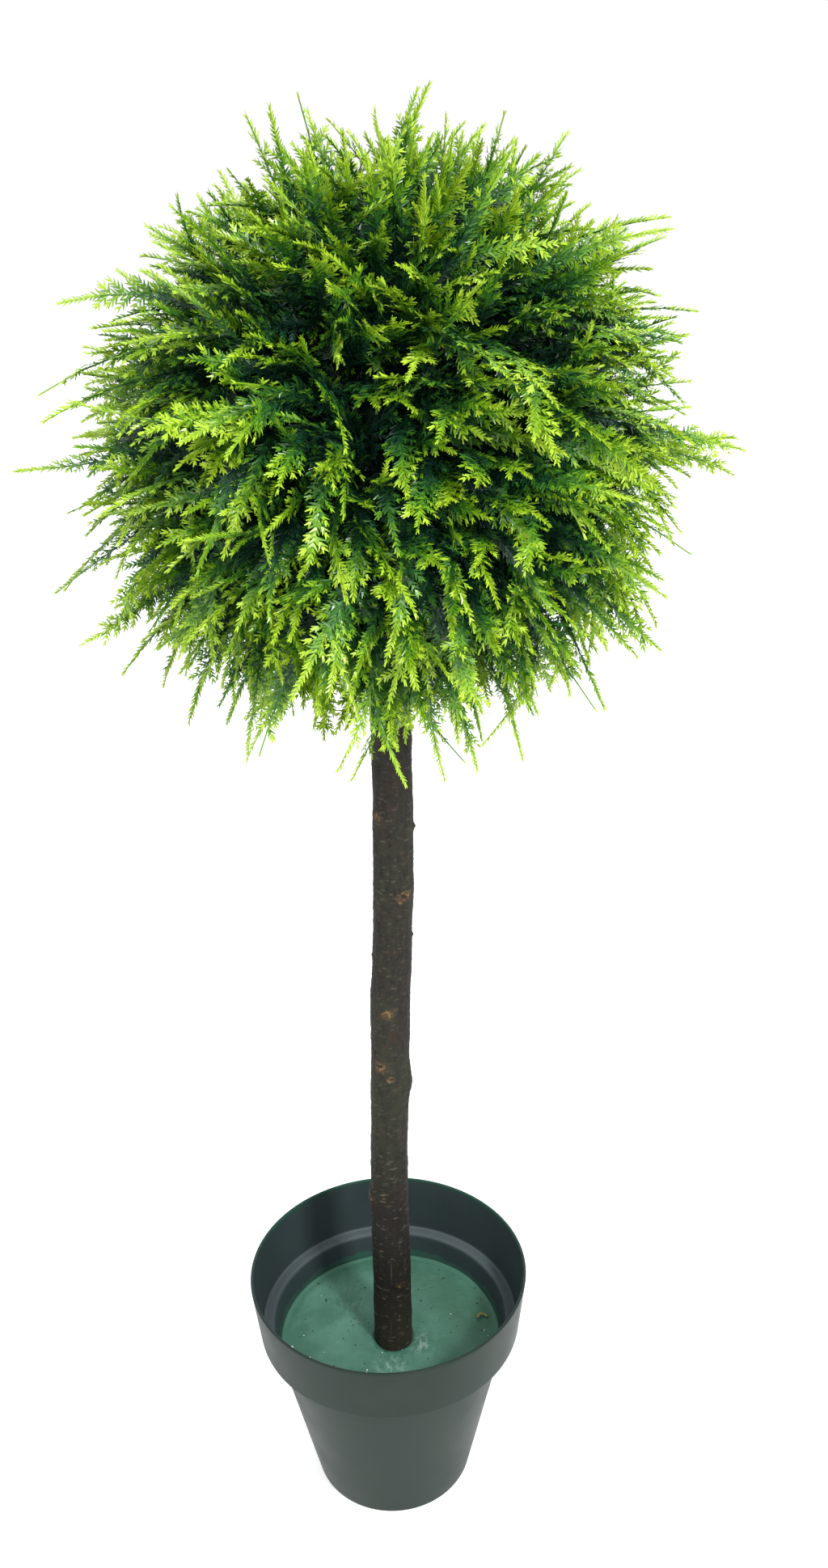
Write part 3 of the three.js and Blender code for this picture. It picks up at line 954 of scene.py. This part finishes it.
LONG_TAIL, OTHER_TAIL = 1.1, 0.8  # shares of the settings' tail
SHORT_SPRIG = 75 * MM  # sprigs under this length bear shoots from nearer the core
EARLY_SHOOTS, LATE_SHOOTS = 0.6, 2.1  # where shoots and needles begin, in shares of the bare reach
DARK_MOOD = -0.25  # sprigs whose shade is shifted by less bear needles from nearer the core
LOWEST_SOCKET = -0.965  # height of the lowest socket, in core radii: the stem enters under it
SOCKET_REACH = 0.97  # distance of the sprigs' starts from the core's middle, in core radii
SHORT_FAN = 1.5  # short sprigs lean this much further from their tuft's middle
FOCUS = 60  # how sharply the outline follows the CAD points nearest to each direction
PLAIN_BALL = 1.05  # radius of the ball that evens the outline, in mean radii
SHOOT_ANGLE = (44, 6)  # mean and spread of a side shoot's angle, in degrees

# Angles of rows of needles round their stem: a flat pair, one on top, and a tuft at the end.
PAIR, ON_TOP, TUFT = (0, np.pi), (np.pi / 2,), (0, 2.1, 4.2)

# Tints of needles and twigs, each with its slot, and the shades that part them.
TINTS = {
    "deep": "dark_sprigs",
    "dark": "dark_sprigs",
    "middle": "green_sprigs",
    "fresh": "green_sprigs",
    "yellow": "light_sprigs",
    "lime": "light_sprigs",
}
TINT_LIMITS = (0.10, 0.26, 0.45, 0.64, 0.84)

# Triangles over the corners of a needle, and over the two rings of a twig's length.
BLADE = np.array(((0, 1, 2), (0, 2, 3)))
PRISM = np.array(((0, 1, 4), (0, 4, 3), (1, 2, 5), (1, 5, 4), (2, 0, 3), (2, 3, 5)))


def across_to(direction, rng):
    """A random direction square to each direction."""
    other = rng.normal(size=direction.shape)
    return unit(other - dot(other, direction) * direction)


class Stems:
    """Thin stems, each a parabola: the point at share t is start + run t + bend t², and the side
    direction is kept square to it. The tail is the length at its end that bears no shoots."""

    def __init__(self, start, run, bend, side, tail=0.0):
        self.start, self.run, self.bend, self.side, self.tail = start, run, bend, side, tail
        self.length = np.linalg.norm(run + bend, axis=1)

    def at(self, share):
        """Points and forward, side and upper directions at shares of each stem."""
        share = share[..., None]
        points = self.start[:, None] + self.run[:, None] * share + self.bend[:, None] * share**2
        forward = unit(self.run[:, None] + 2 * self.bend[:, None] * share)
        side = unit(self.side[:, None] - dot(self.side[:, None], forward) * forward)
        return points, forward, side, np.cross(forward, side)


class Blades:
    """Collects needles and twig lengths, with a shade from 0, innermost, to 1, lightest, for each."""

    def __init__(self, settings, rng):
        self.settings, self.rng = settings, rng
        self.needles, self.twigs = [], []

    def add_needles(self, chosen, base, forward, side, long, wide, shade):
        """A needle is a blade of two triangles: wide at its base, narrow at its end, and folded a
        little along the line between them."""
        half = side * wide[..., None] / 2
        fold = np.cross(forward, half) * 0.6
        end = base + forward * long[..., None]
        corners = (base - half, base + half + fold, end + 0.3 * half, end - 0.3 * half + 0.3 * fold)
        self.needles.append((np.stack(corners, axis=-2)[chosen], shade[chosen]))

    def add_twigs(self, stems, share, thick, shade):
        """A twig is a three-sided tube through a stem's points, cut into its lengths."""
        points, _, side, up = stems.at(share)
        angles = np.arange(3) * TAU / 3
        ring = side[..., None, :] * np.cos(angles)[:, None] + up[..., None, :] * np.sin(angles)[:, None]
        rings = points[..., None, :] + ring * thick[..., None, None]
        lengths = np.concatenate((rings[:, :-1], rings[:, 1:]), axis=-2)
        self.twigs.append((lengths.reshape(-1, 6, 3), shade[:, :-1].ravel()))

    def add_rows(self, stems, share, real, size, shade, rows, lean):
        """Rows of needles along stems: each row is an angle round the stem, and the needles lean
        forward from it. A few are left out."""
        rng = self.rng
        points, forward, side, up = stems.at(share)
        for row in rows:
            turn = row + rng.normal(0, NEEDLE_TURN, share.shape)[..., None]
            out = side * np.cos(turn) + up * np.sin(turn)
            angle = (lean + rng.normal(0, NEEDLE_LEAN, share.shape))[..., None]
            way = forward * np.cos(angle) + out * np.sin(angle)
            edge = unit(forward * np.sin(angle) - out * np.cos(angle) + 0.35 * np.cross(forward, out))
            long = size * self.settings.needle_length * rng.uniform(0.85, 1.12, share.shape)
            wide = self.settings.needle_width * np.sqrt(size) * np.ones_like(long)
            kept = real & (rng.random(share.shape) < 0.97)
            uneven = shade + rng.normal(0, 0.045, share.shape)
            self.add_needles(kept, points, way, edge, long, wide, uneven)


def in_row(stems, gap, first, last):
    """Shares of each stem at even gaps, from a first distance to a last one, and which are real."""
    most = int(np.max((last - first) / gap)) + 1
    distance = first[:, None] + gap * np.arange(most)
    return np.clip(distance / stems.length[:, None], 0, 1), distance <= last[:, None]


def crown_outline(centre, core_radius):
    """The crown's outer points in the CAD masses: directions and radii of its packed outline, and
    the places of its long tips."""
    points = np.concatenate([cad_points(name) for name in MASSES]) - centre
    radius = np.linalg.norm(points, axis=1)
    outer = radius > 1.5 * core_radius
    points, radius = points[outer], radius[outer]
    tip = radius > 1.1 * np.median(radius)
    return unit(points[~tip]), radius[~tip], centre + points[tip]


def part_round_stem(tips, top):
    """Tips that hang lower than the core, moved out so that they leave the stem in view."""
    centre, radius = stem_axis_at(top)
    away = tips[:, :2] - centre
    reach = np.linalg.norm(away, axis=1, keepdims=True)
    clear = radius + 18 * MM
    pushed = centre + away / reach * (clear + 0.35 * reach)
    near = (reach < clear / 0.65) & (tips[:, 2:] < top)
    return np.concatenate((np.where(near, pushed, tips[:, :2]), tips[:, 2:]), axis=1)


def spread_tips(settings, rng, centre, core_radius):
    """Tips spread evenly over the crown's outline and, for the short ones, inside it, then one for
    each long tip of the outline; and the kind of each."""
    ways, radii, long_tips = crown_outline(centre, core_radius)
    total = settings.sockets * settings.tuft
    short = int(total * settings.short)
    way = np.concatenate((spread_directions(total - short), spread_directions(short)))
    way = unit(way + rng.normal(0, TIP_SPREAD, way.shape))
    kinds = np.repeat((PACKED, SHORT, LONG), (total - short, short, len(long_tips)))
    closeness = np.exp(FOCUS * (way @ ways.T - 1))
    outline = closeness @ radii / closeness.sum(axis=1)
    outline += settings.evenness * (PLAIN_BALL * outline.mean() - outline)
    short_reach = rng.uniform(*SHORT_REACH, total)
    full_reach = FULL_REACH - rng.gamma(*REACH_LOSS, total)
    share = np.where(kinds[:total] == SHORT, short_reach, full_reach)
    reach = outline * np.maximum(share, SHORT_REACH[0])
    long_way = long_tips - centre
    long_way *= 1 - settings.lift * np.clip(-unit(long_way)[:, 2:], 0, 1)
    return centre + np.concatenate((way * reach[:, None], long_way)), kinds


def place_sprigs(settings, rng):
    """The main stems of the sprigs, and the kind of each. Each runs from a socket of the core near
    its tip's direction to its tip; they sag, and part below the core to leave the wood stem in
    view."""
    low, high = (np.array(corner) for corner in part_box("core"))
    centre, core_radius = (low + high) / 2, (high[0] - low[0]) / 2
    tips, kinds = spread_tips(settings, rng, centre, core_radius)
    tips = part_round_stem(tips, low[2])
    way = unit(tips - centre)
    fan = settings.fan * np.where(kinds == SHORT, SHORT_FAN, 1)[:, None]
    lean = np.tan(np.radians(rng.uniform(0.1, 1, fan.shape) * fan))
    root = unit(way + across_to(way, rng) * lean - rng.uniform(0.3, 1, fan.shape) * settings.fall * DOWN)
    socket = spread_directions(settings.sockets)
    socket = socket[socket[:, 2] > LOWEST_SOCKET]
    start = centre + socket[np.argmax(root @ socket.T, axis=1)] * core_radius * SOCKET_REACH
    chord = tips - start
    reach = np.linalg.norm(chord, axis=1, keepdims=True)
    along = chord / reach
    sag = DOWN - dot(DOWN, along) * along
    bow = across_to(along, rng) * rng.normal(0, BOW_SPREAD, reach.shape)
    bend = reach * (sag * rng.normal(settings.droop, SAG_SPREAD, reach.shape) + bow)
    twist = across_to(along, rng) * rng.normal(0, TWIST_SPREAD, reach.shape)
    side = unit(np.cross(along, DOWN) + twist)
    tail = settings.tail * np.where(kinds == LONG, LONG_TAIL, OTHER_TAIL)
    tail = tail * rng.uniform(0.4, 1.3, len(tips))
    return Stems(start, chord - bend, bend, side, tail), kinds


def side_shoots(settings, rng, sprigs):
    """Side shoots in turn left and right of each sprig, up to its tail. They shorten from a quarter
    of the way on, to less than half at the tail, and curl forward and down. Gives the shoots, the
    sprig of each and its share along that sprig."""
    first = settings.bare_reach * np.where(sprigs.length < SHORT_SPRIG, EARLY_SHOOTS, LATE_SHOOTS)
    share, real = in_row(sprigs, settings.shoot_gap, first, sprigs.length - sprigs.tail)
    share = np.clip(share + rng.normal(0, 0.006, share.shape), 0, 1)
    points, forward, side, up = sprigs.at(share)
    hand = np.where(np.arange(share.shape[1]) % 2, 1.0, -1.0)[:, None]
    angle = np.radians(rng.normal(*SHOOT_ANGLE, share.shape))[..., None]
    tilt = rng.normal(0, SHOOT_TILT, share.shape)[..., None]
    way = unit(forward * np.cos(angle) + (side * hand + up * tilt) * np.sin(angle))
    span = np.clip(share / (1 - sprigs.tail / sprigs.length)[:, None], 0, 1)
    size = settings.shoot_length * (1 - 0.55 * np.clip((span - 0.25) / 0.75, 0, 1))
    size = size * np.clip(rng.normal(1, 0.2, share.shape), 0.5, 1.6)
    lift = up * rng.normal(0, 0.08, share.shape)[..., None]
    curl = (forward * 0.12 + 0.07 * DOWN + lift) * size[..., None]
    owner = np.broadcast_to(np.arange(len(share))[:, None], share.shape)
    run = way * size[..., None] - curl / 2
    spread = unit(side * hand * np.cos(angle) - forward * np.sin(angle))
    shoots = Stems(points[real], run[real], curl[real], spread[real])
    return shoots, owner[real], share[real]


class TOPIARY_OT_sprigs(bpy.types.Operator):
    """Grows the sprigs of the round head"""

    bl_idname = "topiary.sprigs"
    bl_label = "Sprigs"

    def execute(self, context):
        settings = context.scene.topiary.sprigs
        rng = np.random.default_rng(settings.seed)
        sprigs, kinds = place_sprigs(settings, rng)
        total = len(kinds)
        mood = np.where(kinds == LONG, rng.normal(0.03, 0.05, total), rng.normal(0, 0.1, total))
        mood -= 0.22 * (kinds == PACKED) * (rng.random(total) < 0.07) + 0.34 * (kinds == SHORT)
        bare = (rng.random(total) < 0.12) & (kinds == LONG)
        blades = Blades(settings, rng)
        self.grow_mains(blades, sprigs, mood, bare)
        self.grow_shoots(blades, sprigs, mood)
        self.build("needles", settings, blades.needles, BLADE)
        self.build("twigs", settings, blades.twigs, PRISM)
        return {"FINISHED"}

    def ripeness(self, share):
        """How light a sprig is at a share of its length."""
        return smooth(0.47, 1.06, share)

    def grow_mains(self, blades, sprigs, mood, bare):
        """Main stems, their paired needles, a third row of needles on their tails and a tuft at the
        end. The ends of bare sprigs are thicker, with few and small needles."""
        settings, rng = blades.settings, blades.rng
        share = np.broadcast_to(np.linspace(0, 1, 9), (len(mood), 9))
        thick = (0.75 - 0.42 * share) * MM * np.where(bare, 1.25, 1)[:, None]
        shade = 0.8 * self.ripeness(share) + mood[:, None]
        blades.add_twigs(sprigs, share, thick, shade)
        length = sprigs.length
        first = settings.bare_reach * np.where(mood < DARK_MOOD, EARLY_SHOOTS, LATE_SHOOTS)
        share, real = in_row(sprigs, settings.needle_gap * 0.9, first, length - 1 * MM)
        in_tail = share > 1 - (sprigs.tail / length)[:, None]
        spiky = bare[:, None] & (share > 1 - 1.6 * (settings.tail / length)[:, None])
        real &= ~spiky | (rng.random(share.shape) < 0.12)
        shade = 0.95 * self.ripeness(share) + mood[:, None]
        size = np.where(in_tail, 0.95 - 0.25 * smooth(0.85, 1, share), 1.0)
        size = np.where(spiky, 0.4, size)
        lean = np.radians(np.where(in_tail, 34, 40))
        blades.add_rows(sprigs, share, real, size, shade, PAIR, lean)
        blades.add_rows(sprigs, share, real & in_tail, size, shade, ON_TOP, lean)
        end = np.ones((len(length), 1))
        size = np.where(bare, 0.6, 0.75)[:, None]
        blades.add_rows(sprigs, end, end > 0, size, 0.95 + mood[:, None], TUFT, 0.25)

    def grow_shoots(self, blades, sprigs, mood):
        """Side shoots, each a slender blade with paired needles, a few needles on top and a forked
        end."""
        settings, rng = blades.settings, blades.rng
        shoots, owner, along = side_shoots(settings, rng, sprigs)
        ripe = self.ripeness(along)[:, None]
        base = 0.6 * ripe + mood[owner][:, None]
        gain = 0.3 + 0.4 * ripe
        length = shoots.length
        whole = length[:, None]
        _, forward, side, _ = shoots.at(np.full_like(whole, 0.5))
        wide = np.full_like(whole, 0.9 * MM)
        blades.add_needles(whole > 0, shoots.start[:, None], forward, side, whole, wide, base + 0.5 * gain)
        share, real = in_row(shoots, settings.needle_gap, np.full(len(length), 1.5 * MM), length - 0.5 * MM)
        shade = base + gain * share**1.2
        size = 1.02 - 0.25 * share
        lean = np.radians(42 - 8 * share)
        blades.add_rows(shoots, share, real, size, shade, PAIR, lean)
        on_top = real & (rng.random(share.shape) < 0.2)
        blades.add_rows(shoots, share, on_top, size * 0.8, shade, ON_TOP, lean)
        end = np.ones((len(length), 1))
        blades.add_rows(shoots, end, end > 0, 0.8 * end, base + gain, PAIR, 0.3)

    def build(self, kind, settings, parts, shape):
        """Deals the needles or twigs out to the tints by shade, and joins those of each tint into
        pieces under the limit of triangles."""
        corners = np.concatenate([part[0] for part in parts])
        tint_of = np.digitize(np.concatenate([part[1] for part in parts]), TINT_LIMITS)
        for index, (tint_name, slot) in enumerate(TINTS.items()):
            chosen = corners[tint_of == index]
            number = max(1, int(np.ceil(len(chosen) * len(shape) / PIECE_LIMIT)))
            name = f"{kind}_{tint_name}"
            material = self.plastic(f"{name}_plastic", getattr(settings, tint_name))
            for piece, part in enumerate(np.array_split(chosen, number), start=1):
                faces = np.arange(len(part))[:, None, None] * part.shape[1] + shape
                title = name if number == 1 else f"{name}_{piece}"
                add_piece(title, part.reshape(-1, 3), faces.reshape(-1, 3), material, MASSES, False)

    def plastic(self, name, colour):
        """Plain moulded plastic of one tint, with a soft gloss."""
        return Shader(name, roughness=0.32, specular_ior_level=0.4).finish(colour)


# ---- Stage ----


# Lights: place, width, power in watts, and the point that each faces.
LIGHTS = (
    ("key_light", (0.80, -1.14, 1.64), 0.24, 34, (0, 0, 0.4)),
    ("fill_light", (-0.5, -1.7, 1.2), 1.2, 14, (0, 0, 0.6)),
    ("top_light", (-0.2, 0.6, 2.2), 1.0, 6, (0, 0, 0.7)),
)


class TOPIARY_OT_stage(bpy.types.Operator):
    """Makes the floor, the lights and the camera"""

    bl_idname = "topiary.stage"
    bl_label = "Stage"

    def execute(self, context):
        settings = context.scene.topiary.stage
        self.add_floor(settings)
        self.add_world()
        for light in LIGHTS:
            self.add_light(*light)
        self.add_camera(context.scene, settings)
        context.scene.view_settings.view_transform = "Standard"
        return {"FINISHED"}

    def add_floor(self, settings):
        """A wide flat floor just under the pot."""
        reach = 12.0
        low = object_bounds()[0][2]
        corners = np.array(((-1, -1, 0), (1, -1, 0), (1, 1, 0), (-1, 1, 0))) * reach + (0, 0, low)
        mesh = bpy.data.meshes.new("floor")
        mesh.from_pydata(corners.tolist(), [], [(0, 1, 2, 3)])
        paper = Shader("floor_paper", roughness=0.9, emission_color=(1, 1, 1), emission_strength=0.35)
        mesh.materials.append(paper.finish(settings.floor))
        floor = bpy.data.objects.new("floor", mesh)
        bpy.context.scene.collection.objects.link(floor)
        floor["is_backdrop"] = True

    def add_world(self):
        """Even white light from all round."""
        world = bpy.data.worlds.new("studio")
        world.use_nodes = True
        background = world.node_tree.nodes["Background"]
        background.inputs["Color"].default_value = (1, 1, 1, 1)
        background.inputs["Strength"].default_value = 1.0
        bpy.context.scene.world = world

    def add_light(self, name, place, size, power, target):
        """A square soft light that faces a point."""
        light = bpy.data.lights.new(name, "AREA")
        light.size = size
        light.energy = power
        holder = bpy.data.objects.new(name, light)
        way = unit(np.array(target) - np.array(place))
        right = unit(np.cross(way, (0, 0, 1)))
        turn = np.stack((right, np.cross(right, way), -way), axis=-1)
        holder.matrix_world = Matrix.Translation(place) @ Matrix(turn.tolist()).to_4x4()
        bpy.context.scene.collection.objects.link(holder)

    def add_camera(self, scene, settings):
        """A camera above the pot's front that looks down at the plant."""
        lens = bpy.data.cameras.new("camera")
        lens.sensor_width = 36
        lens.lens = settings.lens
        lens.clip_start = 0.01
        camera = bpy.data.objects.new("camera", lens)
        spot = Matrix.Translation((settings.sideways, -settings.distance, settings.height))
        tilt = Matrix.Rotation(np.radians(90 - settings.pitch), 4, "X")
        camera.matrix_world = spot @ tilt @ Matrix.Rotation(np.radians(settings.roll), 4, "Z")
        scene.collection.objects.link(camera)
        scene.camera = camera


# ---- Add-on ----


class TOPIARY_PT_panel(bpy.types.Panel):
    """Lists the topiary's pieces"""

    bl_idname = "TOPIARY_PT_panel"
    bl_label = "Ball topiary"
    bl_space_type = "VIEW_3D"
    bl_region_type = "UI"
    bl_category = "Topiary"

    def draw(self, context):
        for operator in OPERATORS:
            self.layout.operator(operator.bl_idname)
        for group_name in TopiarySettings.__annotations__:
            group = getattr(context.scene.topiary, group_name)
            box = self.layout.box()
            for name in type(group).__annotations__:
                box.prop(group, name)


GROUPS = (PotSettings, CementSettings, StemSettings, SprigSettings, StageSettings, TopiarySettings)
OPERATORS = (
    TOPIARY_OT_pot,
    TOPIARY_OT_cement,
    TOPIARY_OT_stem,
    TOPIARY_OT_core,
    TOPIARY_OT_sprigs,
    TOPIARY_OT_stage,
)
CLASSES = (*GROUPS, *OPERATORS, TOPIARY_PT_panel)


def register():
    for made in CLASSES:
        bpy.utils.register_class(made)
    bpy.types.Scene.topiary = bpy.props.PointerProperty(type=TopiarySettings)


def unregister():
    del bpy.types.Scene.topiary
    for made in reversed(CLASSES):
        bpy.utils.unregister_class(made)


def main():
    register()
    for operator in OPERATORS:
        group, name = operator.bl_idname.split(".")
        getattr(getattr(bpy.ops, group), name)()


if __name__ == "__main__":
    main()
